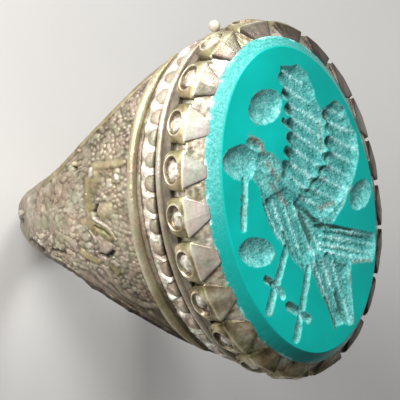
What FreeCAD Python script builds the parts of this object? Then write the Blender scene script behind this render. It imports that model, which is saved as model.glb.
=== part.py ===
import FreeCAD, Part
import math
import os

os.makedirs("parts", exist_ok=True)

# Seal ring with a toothed oval bezel and an engraved stone, in millimetres.
# The origin is the centre of the finger hole, Y runs along the finger and +Z points to the stone.
# Each oval tier takes its size from the tier it sits against, starting at the stone's girdle.

# Hoop
FINGER_HOLE_RADIUS = 9.0
HOOP_THICKNESS = 1.5
BAND_HALF_WIDTH = 2.0
FLARE_START_DROP = 4.2
DECK_RISE = 0.3
LEAN_FREE_HEIGHT = 3.3

# Stone
STONE_HALF_LONG = 12.8
STONE_HALF_WIDE = 8.83
STONE_BASE_INSET = 0.37
STONE_BEVEL_LONG = 0.8
STONE_BEVEL_WIDE = 1.01
STONE_GIRDLE_RISE = 2.8
STONE_BEVEL_RISE = 0.87

# Bezel, turned a little on the hoop
BASE_PLATE_THICKNESS = 1.5
CUP_DEPTH = 1.8
CUP_WALL = 0.8
BEARER_WIDTH = 0.9
CUP_RIM_OUTSET_LONG = 0.65
CUP_RIM_OUTSET_WIDE = 1.07
CUP_FOOT_INSET_LONG = 0.35
CUP_FOOT_INSET_WIDE = 0.5
NECK_INSET_LONG = 0.75
NECK_INSET_WIDE = 0.1

# Shoulders, whose oval plan narrows towards the deck
DECK_OUTSET_LONG = 0.2
DECK_OUTSET_WIDE = 0.65
DECK_EDGE_INSET = 0.25
SHOULDER_MIDDLE_HEIGHT = 4.5
SHOULDER_MIDDLE_OUTSET_LONG = 0.3
SHOULDER_MIDDLE_OUTSET_WIDE = 0.95
SHOULDER_LOW_OUTSET = 0.45

# Teeth of the crown, each with a ring and a pellet
TOOTH_COUNT = 21
TOOTH_GAP = 0.3
TOOTH_FOOT_HALF_WIDTH = 1.15
TOOTH_TIP_HALF_WIDTH = 0.65
LOBE_OUTSET = 0.55
LOBE_HEIGHT = 1.7
LOBE_CORNER_RISE = 0.5
TOOTH_HEIGHT = 2.95
TOOTH_TIP_THICKNESS = 0.3
TOOTH_TIP_OUTER_INSET = 0.85
TOOTH_TIP_INNER_INSET = 1.25
TOOTH_ROOT_INSET = 1.5
COLLAR_FOOT_INSET = 0.35
COLLAR_LIP = 0.12
COLLAR_TOP_DROP = 0.1
ANNULET_RADIUS = 0.8
ANNULET_WALL = 0.28
ANNULET_HEIGHT = 0.2
PELLET_RADIUS = 0.34

# Wires and the scalloped band round the neck
LOWER_WIRE_RADIUS = 0.42
LOWER_WIRE_OUTSET_LONG = 0.05
LOWER_WIRE_OUTSET_WIDE = 0.25
LOWER_WIRE_DROP = 0.65
FINGER_CLEARANCE = 0.1
UPPER_WIRE_RADIUS = 0.28
UPPER_WIRE_OUTSET = 0.15
UPPER_WIRE_RISE = 0.3
BAND_STRIP_OUTSET = 0.5
BAND_STRIP_HEIGHT = 1.4
LUMPS_PER_TOOTH = 2
LUMP_THICKNESS = 0.35
LUMP_HALF_WIDTH = 0.52
LUMP_HEIGHT = 0.72
LUMP_MARGIN = 0.05
END_GRANULE_RADIUS = 0.45
END_GRANULE_SEAT = 0.08

# Raised motif of the shoulders
MOTIF_RELIEF = 0.3

# Tools of the engraver
DRILL_RADIUS = 1.6
DRILL_DEPTH = 0.55
WHEEL_RADIUS = 3.2
FINE_WHEEL_THICKNESS = 0.6
BROAD_WHEEL_THICKNESS = 1.2
WHEEL_DEPTH = 0.4

# How far a cutting shape runs past what it cuts
OVERRUN = 0.6

# Angles, powers and counts
BEZEL_TURN_DEGREES = 9.0
FLARE_POWER = 1.5
LEAN_SHARE = 0.05
WORK_ROOM_SHARE = 4
STEPS_BETWEEN_PLACES = 24
WING_STROKE_COUNT = 8
# The hoop's side stands upright up to this angle round the finger axis
CREST_ANGLE_DEGREES = 45.0
# Angles of the hoop's sections, from past the foot of the hoop to past the top
SECTION_ANGLES_DEGREES = (-110, -90, -70, -50, -30, -15, 0, 15, 30, 45, 60, 75, 95)
# Each pair is a share of the crown's rise and a share of the half width
CROWN_SHARES = ((0.3, 1.0), (0.66, 0.93), (0.9, 0.62), (1.0, 0.0))

# Raised pieces of the motif: root, tip and half width, as shares of the deck's height,
# each place given along Y and up Z
MOTIF_SHARES = (
    ((0.33, 0.44), (-0.15, 0.49), 0.040),
    ((0.49, 0.51), (0.44, 0.785), 0.040),
    ((-0.009, 0.602), (0.125, 0.602), 0.067),
    ((-0.322, 0.581), (-0.204, 0.581), 0.059),
    ((-0.09, 0.55), (-0.17, 0.67), 0.028),
    ((-0.237, 0.237), (-0.36, 0.452), 0.035),
    ((-0.21, 0.355), (-0.113, 0.355), 0.0485),
    ((-0.42, 0.527), (-0.74, 0.828), 0.025),
)

# Engraved figure: places are shares of the face's half width and half length
DRILLED_PIT_SHARES = ((-0.19, 0.65), (-0.70, -0.20), (0.82, -0.12))
HEAD_SHARES = (-0.56, 0.40)
HEAD_DRILL_RADIUS_SHARE = 1.15
# Each stroke runs from one place to another
BROAD_STROKE_SHARES = (
    ((-0.46, 0.34), (-0.38, 0.05)),
    ((-0.42, 0.08), (-0.16, -0.38)),
    ((-0.26, 0.06), (0.0, -0.34)),
    ((-0.10, 0.04), (0.10, -0.26)),
)
FINE_STROKE_SHARES = (
    ((-0.65, 0.26), (-0.80, -0.02)),
    ((-0.32, -0.26), (-0.68, -0.60)),
    ((-0.10, -0.46), (-0.42, -0.84)),
    ((-0.68, -0.38), (-0.54, -0.46)),
    ((-0.54, -0.50), (-0.40, -0.58)),
    ((-0.44, -0.60), (-0.30, -0.68)),
    ((-0.30, -0.72), (-0.16, -0.80)),
    ((0.14, -0.20), (0.84, -0.36)),
    ((0.12, -0.26), (0.82, -0.48)),
    ((0.10, -0.32), (0.72, -0.60)),
    ((0.08, -0.38), (0.40, -0.88)),
    ((0.06, -0.40), (0.26, -0.90)),
    ((0.04, -0.42), (0.12, -0.88)),
)
# Each wing is a fan of strokes between two edges
FIRST_WING_SHARES = (((0.0, 0.74), (-0.14, 0.08)), ((0.30, 0.78), (0.14, 0.02)))
SECOND_WING_SHARES = (((0.48, 0.46), (0.16, -0.02)), ((0.84, 0.34), (0.40, -0.16)))

ORIGIN = FreeCAD.Vector(0, 0, 0)
UP = FreeCAD.Vector(0, 0, 1)
ALONG = FreeCAD.Vector(0, 1, 0)
ACROSS = FreeCAD.Vector(1, 0, 0)
QUARTER_TURN = math.pi / 2

# Heights of the tiers
hoop_radius = FINGER_HOLE_RADIUS + HOOP_THICKNESS
deck_height = FINGER_HOLE_RADIUS + DECK_RISE
cup_foot_height = deck_height + BASE_PLATE_THICKNESS
cup_rim_height = cup_foot_height + CUP_DEPTH
girdle_height = cup_rim_height + STONE_GIRDLE_RISE
face_height = girdle_height + STONE_BEVEL_RISE

# Half lengths and half widths of the tiers
face_half_long = STONE_HALF_LONG - STONE_BEVEL_LONG
face_half_wide = STONE_HALF_WIDE - STONE_BEVEL_WIDE
rim_half_long = STONE_HALF_LONG + CUP_RIM_OUTSET_LONG
rim_half_wide = STONE_HALF_WIDE + CUP_RIM_OUTSET_WIDE
foot_half_long = rim_half_long - CUP_FOOT_INSET_LONG
foot_half_wide = rim_half_wide - CUP_FOOT_INSET_WIDE
neck_half_long = foot_half_long - NECK_INSET_LONG
neck_half_wide = foot_half_wide - NECK_INSET_WIDE
strip_half_long = neck_half_long + BAND_STRIP_OUTSET
strip_half_wide = neck_half_wide + BAND_STRIP_OUTSET
deck_half_long = neck_half_long + DECK_OUTSET_LONG
deck_half_wide = neck_half_wide + DECK_OUTSET_WIDE
middle_half_long = deck_half_long + SHOULDER_MIDDLE_OUTSET_LONG
middle_half_wide = deck_half_wide + SHOULDER_MIDDLE_OUTSET_WIDE
shoulder_half_length = deck_half_long - DECK_EDGE_INSET
upper_wire_height = cup_foot_height + UPPER_WIRE_RISE


def oval_edge(half_long, half_wide, height, first, last):
    """Stretch of an oval between two angles counted from its end on the Y axis."""
    centre = FreeCAD.Vector(0, 0, height)
    if half_wide > half_long:
        return Part.Ellipse(centre, half_wide, half_long).toShape(first + QUARTER_TURN, last + QUARTER_TURN)
    edge = Part.Ellipse(centre, half_long, half_wide).toShape(first, last)
    edge.rotate(centre, UP, 90)
    return edge


def oval(half_long, half_wide, height):
    """Closed oval outline, half long along Y and half wide along X."""
    return Part.Wire(oval_edge(half_long, half_wide, height, 0, 2 * math.pi))


def oval_solid(places, ruled=True):
    """Solid through ovals, each given as half length, half width and height."""
    return Part.makeLoft([oval(*place) for place in places], True, ruled)


def round_wire(half_long, half_wide, height, radius):
    """Round wire bent to a closed oval."""
    section = Part.Circle(FreeCAD.Vector(half_wide, 0, height), ALONG, radius).toShape()
    return oval(half_long, half_wide, height).makePipeShell([Part.Wire(section)], True, False)


def side_wires(half_long, half_wide, height, radius):
    """Round wire along each long side of the turned oval, ending before it enters the finger's room."""
    room_radius = FINGER_HOLE_RADIUS + FINGER_CLEARANCE + radius
    end_across = math.sqrt(room_radius ** 2 - height ** 2)
    turn = math.radians(BEZEL_TURN_DEGREES)
    wide_across, long_across = half_wide * math.cos(turn), half_long * math.sin(turn)
    middle = math.atan2(long_across, wide_across)
    reach = math.acos(end_across / math.hypot(wide_across, long_across))
    first, last = -middle - reach, reach - middle
    path = oval_edge(half_long, half_wide, height, first - QUARTER_TURN, last - QUARTER_TURN)
    start = FreeCAD.Vector(half_wide * math.cos(first), half_long * math.sin(first), height)
    heading = FreeCAD.Vector(-half_wide * math.sin(first), half_long * math.cos(first), 0)
    section = Part.Wire(Part.Circle(start, heading, radius).toShape())
    right = Part.Wire(path).makePipeShell([section], True, False)
    left = right.copy()
    left.rotate(ORIGIN, UP, 180)
    return Part.makeCompound([right, left])


def turned(shape):
    """Shape of the bezel, turned on the hoop."""
    result = shape.copy()
    result.rotate(ORIGIN, UP, BEZEL_TURN_DEGREES)
    return result


def places_on_oval(half_long, half_wide, count, shift=0.0):
    """Points and outward directions at equal steps along an oval, from its wide side."""
    edge = oval(half_long, half_wide, 0).Edges[0]
    step_count = count * STEPS_BETWEEN_PLACES
    points = edge.discretize(Number=step_count + 1)
    result = []
    for index in range(count):
        point = points[int(round((index + shift) * STEPS_BETWEEN_PLACES)) % step_count]
        slope = FreeCAD.Vector(point.x / half_wide ** 2, point.y / half_long ** 2, 0)
        result.append((point, slope.normalize()))
    return result


def stood_on_oval(shape, place):
    """Moves a shape whose local X points outward and whose local Y runs along the oval."""
    point, outward = place
    result = shape.copy()
    result.rotate(ORIGIN, UP, math.degrees(math.atan2(outward.y, outward.x)))
    result.translate(point)
    return result


def polygon_face(points):
    """Flat face with straight sides."""
    return Part.Face(Part.makePolygon(points + [points[0]]))


def half_width_at(height, extra):
    """Half width of the hoop at a height: a narrow band that flares into the shoulders."""
    rise = max(0.0, height + FLARE_START_DROP) / (deck_height + FLARE_START_DROP)
    return BAND_HALF_WIDTH + extra + (shoulder_half_length - BAND_HALF_WIDTH) * rise ** FLARE_POWER


def crown_radius(angle, extra):
    """Radius of the hoop's crest: round below, upright beside the finger, then over the top."""
    turn = math.radians(max(0.0, min(angle, CREST_ANGLE_DEGREES)))
    return (hoop_radius + extra) / math.cos(turn)


def leaned(point):
    """The hoop leans a little along the finger, so that its foot isn't under the bezel's middle."""
    return point + ALONG * (LEAN_SHARE * (point.z - LEAN_FREE_HEIGHT))


def hoop_section(angle, extra):
    """Outline of the hoop cut at an angle round the finger axis."""
    radial = FreeCAD.Vector(math.cos(math.radians(angle)), 0, math.sin(math.radians(angle)))
    inner = FINGER_HOLE_RADIUS - OVERRUN
    rise = crown_radius(angle, extra) - FINGER_HOLE_RADIUS
    side = [(inner, half_width_at(inner * radial.z, extra))]
    for rise_share, width_share in CROWN_SHARES:
        radius = FINGER_HOLE_RADIUS + rise * rise_share
        side.append((radius, half_width_at(radius * radial.z, extra) * width_share))
    mirrored = [(radius, -width) for radius, width in side[:-1]]
    points = [leaned(radial * radius + ALONG * width) for radius, width in side + mirrored[::-1]]
    outline = Part.BSplineCurve()
    outline.interpolate(points)
    closing = Part.LineSegment(points[-1], points[0])
    return Part.Wire([outline.toShape(), closing.toShape()])


def finger_bore(radius):
    """Round room along the finger, longer than the ring."""
    room = WORK_ROOM_SHARE * shoulder_half_length
    return Part.makeCylinder(radius, room, ALONG * (-room / 2), ALONG)


def hoop_blank(extra=0.0):
    """Hoop and shoulders, bored for the finger, cut off flat at the deck."""
    half = Part.makeLoft([hoop_section(angle, extra) for angle in SECTION_ANGLES_DEGREES], True, False)
    room = WORK_ROOM_SHARE * shoulder_half_length
    half = half.common(Part.makeBox(room, room, room, FreeCAD.Vector(0, -room / 2, deck_height - room)))
    body = half.fuse(half.mirror(ORIGIN, ACROSS))
    low_long = middle_half_long + SHOULDER_LOW_OUTSET + extra
    low_wide = middle_half_wide + SHOULDER_LOW_OUTSET + extra
    plan = oval_solid([
        (low_long, low_wide, -hoop_radius - extra - OVERRUN),
        (low_long, low_wide, 0),
        (middle_half_long + extra, middle_half_wide + extra, SHOULDER_MIDDLE_HEIGHT),
        (deck_half_long + extra, deck_half_wide + extra, deck_height),
    ], False)
    return body.common(turned(plan)).cut(finger_bore(FINGER_HOLE_RADIUS))


def motif_prism(root, tip, half_width, side):
    """Pointed or round piece of the motif between two arcs, run out through one shoulder."""
    start = FreeCAD.Vector(0, root[0], root[1]) * deck_height
    end = FreeCAD.Vector(0, tip[0], tip[1]) * deck_height
    run = end - start
    belly = ACROSS.cross(run).normalize() * (half_width * deck_height)
    middle = (start + end) * 0.5
    arcs = [Part.Arc(start, middle + belly * sign, end).toShape() for sign in (1, -1)]
    face = Part.Face(Part.Wire(Part.__sortEdges__(arcs)))
    return face.extrude(ACROSS * (side * (hoop_radius + shoulder_half_length)))


def make_shank_and_motifs(lower_wire):
    """Hoop with its shoulders, grooved for the wire, and the raised motif on each shoulder."""
    shank = hoop_blank().cut(lower_wire)
    raised = hoop_blank(MOTIF_RELIEF)
    pieces = {"shank": shank}
    for side, name in ((-1, "left_motif"), (1, "right_motif")):
        made = []
        for root, tip, half_width in MOTIF_SHARES:
            made += raised.common(motif_prism(root, tip, half_width, side)).cut(shank).Solids
        pieces[name] = Part.makeCompound(made)
    return pieces


def stone_blank():
    """Stone with its bevelled edge, before the bird is cut."""
    return oval_solid([
        (STONE_HALF_LONG - STONE_BASE_INSET, STONE_HALF_WIDE - STONE_BASE_INSET, cup_rim_height),
        (STONE_HALF_LONG, STONE_HALF_WIDE, girdle_height),
        (face_half_long, face_half_wide, face_height),
    ])


def drilled(place, radius):
    """Ball drill standing in the stone's face."""
    across = place[0] * face_half_wide
    along = place[1] * face_half_long
    return Part.makeSphere(radius, FreeCAD.Vector(across, along, face_height + radius - DRILL_DEPTH))


def wheel_cut(stroke, thickness):
    """Engraving wheel that leaves a stroke from one place to another."""
    start, end = [FreeCAD.Vector(a * face_half_wide, b * face_half_long, 0) for a, b in stroke]
    run = end - start
    reach = math.sqrt(WHEEL_RADIUS ** 2 - (WHEEL_RADIUS - WHEEL_DEPTH) ** 2)
    stretch = max(1.0, run.Length / 2 / reach)
    radius = stretch ** 2 * WHEEL_RADIUS
    axis = run.cross(UP).normalize()
    centre = (start + end) * 0.5 + UP * (face_height + radius - WHEEL_DEPTH)
    return Part.makeCylinder(radius, thickness, centre - axis * (thickness / 2), axis)


def wing_strokes(edges):
    """Strokes of a wing, side by side from its tip to its root, each from one edge to the other."""
    first_edge, second_edge = edges
    result = []
    for index in range(WING_STROKE_COUNT):
        share = index / (WING_STROKE_COUNT - 1)
        stroke = []
        for tip, root in (first_edge, second_edge):
            stroke.append([a + (b - a) * share for a, b in zip(tip, root)])
        result.append(stroke)
    return result


def engraved_stone():
    """Stone with the bird cut into its face."""
    cuts = [drilled(place, DRILL_RADIUS) for place in DRILLED_PIT_SHARES]
    cuts.append(drilled(HEAD_SHARES, DRILL_RADIUS * HEAD_DRILL_RADIUS_SHARE))
    cuts += [wheel_cut(stroke, BROAD_WHEEL_THICKNESS) for stroke in BROAD_STROKE_SHARES]
    cuts += [wheel_cut(stroke, FINE_WHEEL_THICKNESS) for stroke in FINE_STROKE_SHARES]
    for wing in (FIRST_WING_SHARES, SECOND_WING_SHARES):
        cuts += [wheel_cut(stroke, FINE_WHEEL_THICKNESS) for stroke in wing_strokes(wing)]
    return stone_blank().cut(cuts)


def tier(first, last, inset=0.0):
    """Solid of one tier between two ovals, drawn in on every side by an inset."""
    return oval_solid([(long - inset, wide - inset, height) for long, wide, height in (first, last)])


def make_bezel():
    """Plate, cup, bearer and cement bed under the stone, with the wires and the strip round the neck."""
    neck = (neck_half_long, neck_half_wide, deck_height)
    foot = (foot_half_long, foot_half_wide, cup_foot_height)
    rim = (rim_half_long, rim_half_wide, cup_rim_height)
    base_plate = tier(neck, foot)
    cup_outer = tier(foot, rim)
    cup_inner = tier(foot, rim, CUP_WALL)
    bed = tier(foot, rim, CUP_WALL + BEARER_WIDTH)

    wire_half_long = deck_half_long + LOWER_WIRE_OUTSET_LONG
    wire_half_wide = deck_half_wide + LOWER_WIRE_OUTSET_WIDE
    wire_height = deck_height - LOWER_WIRE_DROP
    lower_wire = side_wires(wire_half_long, wire_half_wide, wire_height, LOWER_WIRE_RADIUS)

    upper_long = foot_half_long + UPPER_WIRE_OUTSET
    upper_wide = foot_half_wide + UPPER_WIRE_OUTSET
    upper_wire = round_wire(upper_long, upper_wide, upper_wire_height, UPPER_WIRE_RADIUS)
    granules = []
    reach = upper_long + UPPER_WIRE_RADIUS + END_GRANULE_RADIUS - END_GRANULE_SEAT
    for side in (1, -1):
        granule = Part.makeSphere(END_GRANULE_RADIUS, FreeCAD.Vector(0, side * reach, upper_wire_height))
        granules.append(granule.cut(upper_wire))

    strip_foot = (strip_half_long, strip_half_wide, deck_height)
    strip_top = (strip_half_long, strip_half_wide, deck_height + BAND_STRIP_HEIGHT)
    strip_blank = tier(strip_foot, strip_top)
    return {
        "base_plate": base_plate,
        "bezel_cup": cup_outer.cut(cup_inner),
        "bearer_strip": cup_inner.cut(bed),
        "cement_bed": bed,
        "lower_border_wire": lower_wire,
        "upper_border_wire": upper_wire.cut(cup_outer),
        "scallop_strip": strip_blank.cut(base_plate),
        "scallop_lumps": Part.makeCompound(make_lumps(strip_blank)),
        "end_granules": Part.makeCompound(granules),
    }


def make_lumps(strip_blank):
    """Round-ended lumps that hang in a row on the strip, under the upper wire."""
    top = deck_height + BAND_STRIP_HEIGHT - LUMP_MARGIN
    turn_height = top - LUMP_HEIGHT + LUMP_HALF_WIDTH
    corners = [FreeCAD.Vector(-LUMP_THICKNESS, side * LUMP_HALF_WIDTH, height)
               for side, height in ((-1, turn_height), (-1, top), (1, top), (1, turn_height))]
    low = FreeCAD.Vector(-LUMP_THICKNESS, 0, top - LUMP_HEIGHT)
    edges = [Part.LineSegment(a, b).toShape() for a, b in zip(corners[:-1], corners[1:])]
    edges.append(Part.Arc(corners[-1], low, corners[0]).toShape())
    blank = Part.Face(Part.Wire(edges)).extrude(ACROSS * (2 * LUMP_THICKNESS))
    places = places_on_oval(strip_half_long, strip_half_wide, TOOTH_COUNT * LUMPS_PER_TOOTH, 0.5)
    return [stood_on_oval(blank, place).cut(strip_blank) for place in places]


def tooth_blank(pitch):
    """One tooth in its local place: a lobe at the foot and a blade that leans over the stone."""
    foot = cup_rim_height
    lobe_top = foot + LOBE_HEIGHT
    tip_top = foot + TOOTH_HEIGHT
    profile = [
        (-TOOTH_ROOT_INSET, foot),
        (LOBE_OUTSET, foot),
        (LOBE_OUTSET, lobe_top),
        (-TOOTH_TIP_OUTER_INSET, tip_top - TOOTH_TIP_THICKNESS / 2),
        (-TOOTH_TIP_INNER_INSET, tip_top),
        (-TOOTH_ROOT_INSET, tip_top - TOOTH_TIP_THICKNESS),
    ]
    side_face = polygon_face([FreeCAD.Vector(out, -pitch / 2, height) for out, height in profile])
    wide = (pitch - TOOTH_GAP) / 2
    right = [(TOOTH_FOOT_HALF_WIDTH, foot), (wide, foot + LOBE_CORNER_RISE), (wide, lobe_top),
             (TOOTH_TIP_HALF_WIDTH, tip_top), (TOOTH_TIP_HALF_WIDTH, tip_top + OVERRUN)]
    outline = [(-across, height) for across, height in right[::-1]] + right
    start = -TOOTH_ROOT_INSET - OVERRUN
    reach = LOBE_OUTSET + OVERRUN - start
    front_face = polygon_face([FreeCAD.Vector(start, across, height) for across, height in outline])
    return side_face.extrude(ALONG * pitch).common(front_face.extrude(ACROSS * reach))


def make_crown():
    """Collar round the stone, the teeth on it, and the ring and the pellet on each lobe."""
    stone = stone_blank()
    collar_foot = (rim_half_long - COLLAR_FOOT_INSET, rim_half_wide - COLLAR_FOOT_INSET, cup_rim_height)
    collar_top = (STONE_HALF_LONG + COLLAR_LIP, STONE_HALF_WIDE + COLLAR_LIP, girdle_height - COLLAR_TOP_DROP)
    collar_blank = tier(collar_foot, collar_top)
    pitch = oval(rim_half_long, rim_half_wide, 0).Length / TOOTH_COUNT
    blank = tooth_blank(pitch)
    seat = FreeCAD.Vector(LOBE_OUTSET, 0, cup_rim_height + LOBE_HEIGHT / 2)
    annulet = Part.makeCylinder(ANNULET_RADIUS, ANNULET_HEIGHT, seat, ACROSS)
    annulet = annulet.cut(Part.makeCylinder(ANNULET_RADIUS - ANNULET_WALL, ANNULET_HEIGHT, seat, ACROSS))
    pellet = Part.makeSphere(PELLET_RADIUS, seat).cut(blank)
    places = places_on_oval(rim_half_long, rim_half_wide, TOOTH_COUNT)
    teeth = []
    for place in places:
        fitted = stood_on_oval(blank, place).cut([stone, collar_blank])
        teeth.append(max(fitted.Solids, key=lambda solid: solid.Volume))
    return {
        "crown_collar": collar_blank.cut(stone),
        "crown_teeth": Part.makeCompound(teeth),
        "tooth_annulets": Part.makeCompound([stood_on_oval(annulet, place) for place in places]),
        "tooth_pellets": Part.makeCompound([stood_on_oval(pellet, place) for place in places]),
    }


def build():
    """Makes every piece and writes each one."""
    pieces = {"intaglio_stone": engraved_stone()}
    pieces.update(make_bezel())
    pieces.update(make_crown())
    pieces = {name: turned(shape) for name, shape in pieces.items()}
    pieces.update(make_shank_and_motifs(pieces["lower_border_wire"]))
    for name, shape in pieces.items():
        shape.exportStep("parts/" + name + ".step")


build()
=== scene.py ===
import math

import bpy
import numpy as np
from mathutils import Matrix, Vector


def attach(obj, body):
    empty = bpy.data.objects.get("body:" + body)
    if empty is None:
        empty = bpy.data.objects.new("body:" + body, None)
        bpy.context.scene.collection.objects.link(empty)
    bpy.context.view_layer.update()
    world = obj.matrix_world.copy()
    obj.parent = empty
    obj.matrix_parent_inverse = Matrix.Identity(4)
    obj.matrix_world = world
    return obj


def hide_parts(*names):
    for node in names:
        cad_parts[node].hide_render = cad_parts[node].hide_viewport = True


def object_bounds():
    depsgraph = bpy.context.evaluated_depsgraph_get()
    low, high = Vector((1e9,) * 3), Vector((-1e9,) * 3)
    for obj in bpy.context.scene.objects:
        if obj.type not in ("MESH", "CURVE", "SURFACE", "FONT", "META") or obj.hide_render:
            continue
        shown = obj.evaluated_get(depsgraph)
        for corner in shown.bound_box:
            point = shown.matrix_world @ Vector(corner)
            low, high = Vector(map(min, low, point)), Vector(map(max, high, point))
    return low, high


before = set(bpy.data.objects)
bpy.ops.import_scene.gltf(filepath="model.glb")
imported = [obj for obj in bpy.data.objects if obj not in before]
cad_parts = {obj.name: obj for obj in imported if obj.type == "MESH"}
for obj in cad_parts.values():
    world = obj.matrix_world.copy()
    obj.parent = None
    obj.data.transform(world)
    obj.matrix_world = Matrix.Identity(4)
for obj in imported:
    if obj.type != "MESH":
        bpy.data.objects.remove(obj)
CAD_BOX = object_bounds()

# Lengths are in millimetres until a mesh is written, and the frame is in metres.
MM = 0.001
SEED = 11

# The ring, as the frame holds it
FINGER_HOLE_RADIUS = 9
HOOP_RADIUS = 10.5
BAND_HALF_WIDTH = 2
SHOULDER_HALF_LENGTH = 12.3
FLARE_START = -4.2
FLARE_POWER = 1.5
LEAN = 0.05
LEAN_FREE_HEIGHT = 3.3
DECK_HEIGHT = 9.3
CREST_ANGLE = math.radians(45)
PLAN_HEIGHTS = (-11.1, 0, 4.5, 9.3)
PLAN_HALF_LONG = (13.3, 13.3, 12.85, 12.55)
PLAN_HALF_WIDE = (11.35, 11.35, 10.9, 9.95)
BEZEL_TURN = math.radians(9)
CUP_RIM = 12.6
CUP_RIM_HALVES = (13.45, 9.9)
# The collar's face, as outward place and height, from its foot over the girdle
COLLAR_PROFILE = ((-0.35, 12.62), (-0.05, 13.3), (0.14, 14.1), (0.05, 14.42), (-0.55, 14.98), (-0.92, 15.3),
                  (-1.06, 15.36), (-1.25, 15.2))
STONE_BASE_HALVES = (12.43, 8.46)
GIRDLE_HEIGHT = 15.4
GIRDLE_HALVES = (12.8, 8.83)
FACE_HEIGHT = 16.27
FACE_HALVES = (12, 7.82)
FACE_DOME = 0.22
TOOTH_COUNT = 21
LUMP_COUNT = 42
# Half length, half width, height and radius of each border wire
LOWER_WIRE = (12.6, 10.2, 8.65, 0.42)
LOWER_WIRE_ENDS = (math.radians(-78.2), math.radians(56.1))
UPPER_WIRE = (13.25, 9.55, 11.14, 0.3)
STRIP_HALVES = (12.85, 9.8)
STRIP_FOOT = 9.3
STRIP_HEIGHT = 1.4

# The photograph's view: pixels per millimetre, and where the girdle's centre falls
PIXELS_PER_MM = 13.098
GIRDLE_PIXEL = (291.8, 200)
PICTURE_SIZE = 400
VIEW_RIGHT = Vector((0.7126, -0.0993, 0.6945)).normalized()
VIEW_UP = Vector((0.1488, 0.9888, -0.0113))
VIEW_UP = (VIEW_UP - VIEW_RIGHT * VIEW_UP.dot(VIEW_RIGHT)).normalized()
VIEW_BACK = VIEW_RIGHT.cross(VIEW_UP)
CAMERA_DISTANCE = 0.6
SENSOR_WIDTH = 36

# Lamps, in metres and watts: name, way from the ring, distance, size, power and colour
LAMP_TARGET = Vector((0, 0, 0.012))
LAMPS = (
    ("key", -VIEW_RIGHT * 0.4 + VIEW_UP * 0.5 + VIEW_BACK * 0.82, 0.125, 0.06, 0.285, (1, 0.985, 0.97)),
    ("top", VIEW_RIGHT * 0.3 + VIEW_UP * 0.8 + VIEW_BACK * 0.42, 0.32, 0.1, 0.7, (1, 1, 1)),
)
SKY_COLOUR = (0.95, 0.97, 1, 1)
SKY_STRENGTH = 0.15
FLOOR_REACH = 1.5
FLOOR_GAP = 0.0001
FLOOR_COLOURS = ((0.62, 0.61, 0.59), (0.68, 0.67, 0.65))


# Shapes and noise

def ease(low, high, value):
    """Smooth rise from 0 to 1 between two values."""
    share = np.clip((value - low) / (high - low), 0, 1)
    return share * share * (3 - 2 * share)


def bell(value, middle, reach):
    """Smooth hump of height 1 round a middle value."""
    return np.exp(-((value - middle) / reach) ** 2)


def dome(share):
    """Height of a round dome at a share of its radius."""
    return np.sqrt(np.maximum(0, 1 - share ** 2))


def blend(first, second, share):
    """Passes from one value to another."""
    return first * (1 - share) + second * share


def hashed(*cells):
    """Repeatable numbers from 0 to 1 for whole-number cells."""
    total = np.zeros_like(cells[0], dtype=np.int64) + 7 * SEED
    for place, cell in enumerate(cells):
        total = (total * 6364136 + cell.astype(np.int64) * (104729 + 7919 * place) + 12345) & 0x7FFFFFFF
        total ^= total >> 13
    total = (total * 48271) & 0x7FFFFFFF
    return total / float(0x7FFFFFFF)


def value_noise(x, y, z):
    """Smooth noise from -1 to 1, one cell per unit."""
    result = np.zeros_like(x)
    cells = [np.floor(v) for v in (x, y, z)]
    parts = [v - c for v, c in zip((x, y, z), cells)]
    parts = [p * p * (3 - 2 * p) for p in parts]
    for corner in range(8):
        steps = [(corner >> k) & 1 for k in range(3)]
        weight = np.ones_like(x)
        for part, step in zip(parts, steps):
            weight = weight * (part if step else 1 - part)
        result += weight * hashed(*[c + s for c, s in zip(cells, steps)])
    return result * 2 - 1


def noise_at(points, size, layers=3):
    """Sum of noise layers, the first with features of a size in millimetres."""
    total = 0
    weight = 1
    for layer in range(layers):
        scale = 2 ** layer / size
        total = total + weight * value_noise(*[points[..., k] * scale + 31.7 * layer for k in range(3)])
        weight *= 0.5
    return total


def bead_field(along, down, radius, jitter):
    """Heights from 0 to 1 of beads laid in rows, one per unit each way."""
    row, column = np.floor(down), np.floor(along)
    height = np.zeros_like(along)
    for row_step in (-1, 0, 1):
        for column_step in (-1, 0, 1):
            r, c = row + row_step, column + column_step
            picks = [hashed(r, c, r * 0 + k) for k in range(1, 5)]
            centre_along = c + 0.5 + 0.5 * np.mod(r, 2) + jitter * (picks[0] - 0.5)
            centre_down = r + 0.5 + jitter * (picks[1] - 0.5)
            gap = np.hypot(along - centre_along, down - centre_down) / (radius * (0.72 + 0.5 * picks[2]))
            height = np.maximum(height, dome(gap) * (0.6 + 0.4 * picks[3]))
    return height


def segment_gap(x, y, start, end):
    """Distance from points to a straight stroke, and the share reached along it."""
    run = np.array(end, float) - np.array(start, float)
    share = ((x - start[0]) * run[0] + (y - start[1]) * run[1]) / max(1e-9, float(run @ run))
    share = np.clip(share, 0, 1)
    return np.hypot(x - start[0] - share * run[0], y - start[1] - share * run[1]), share


def path_gap(x, y, places):
    """Distance from points to a stroke of several straight runs."""
    if len(places) == 1:
        return np.hypot(x - places[0][0], y - places[0][1])
    gaps = [segment_gap(x, y, start, end)[0] for start, end in zip(places, places[1:])]
    return np.minimum.reduce(gaps)


def inside_depth(x, y, outline):
    """Distance inside a closed outline, below zero outside."""
    gap = path_gap(x, y, list(outline) + [outline[0]])
    inside = np.zeros(x.shape, bool)
    for (x0, y0), (x1, y1) in zip(outline, list(outline[1:]) + [outline[0]]):
        crosses = (y0 > y) != (y1 > y)
        at = (x1 - x0) * (y - y0) / (y1 - y0 if y1 != y0 else 1e-9) + x0
        inside ^= crosses & (x < at)
    return np.where(inside, gap, -gap)


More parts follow.
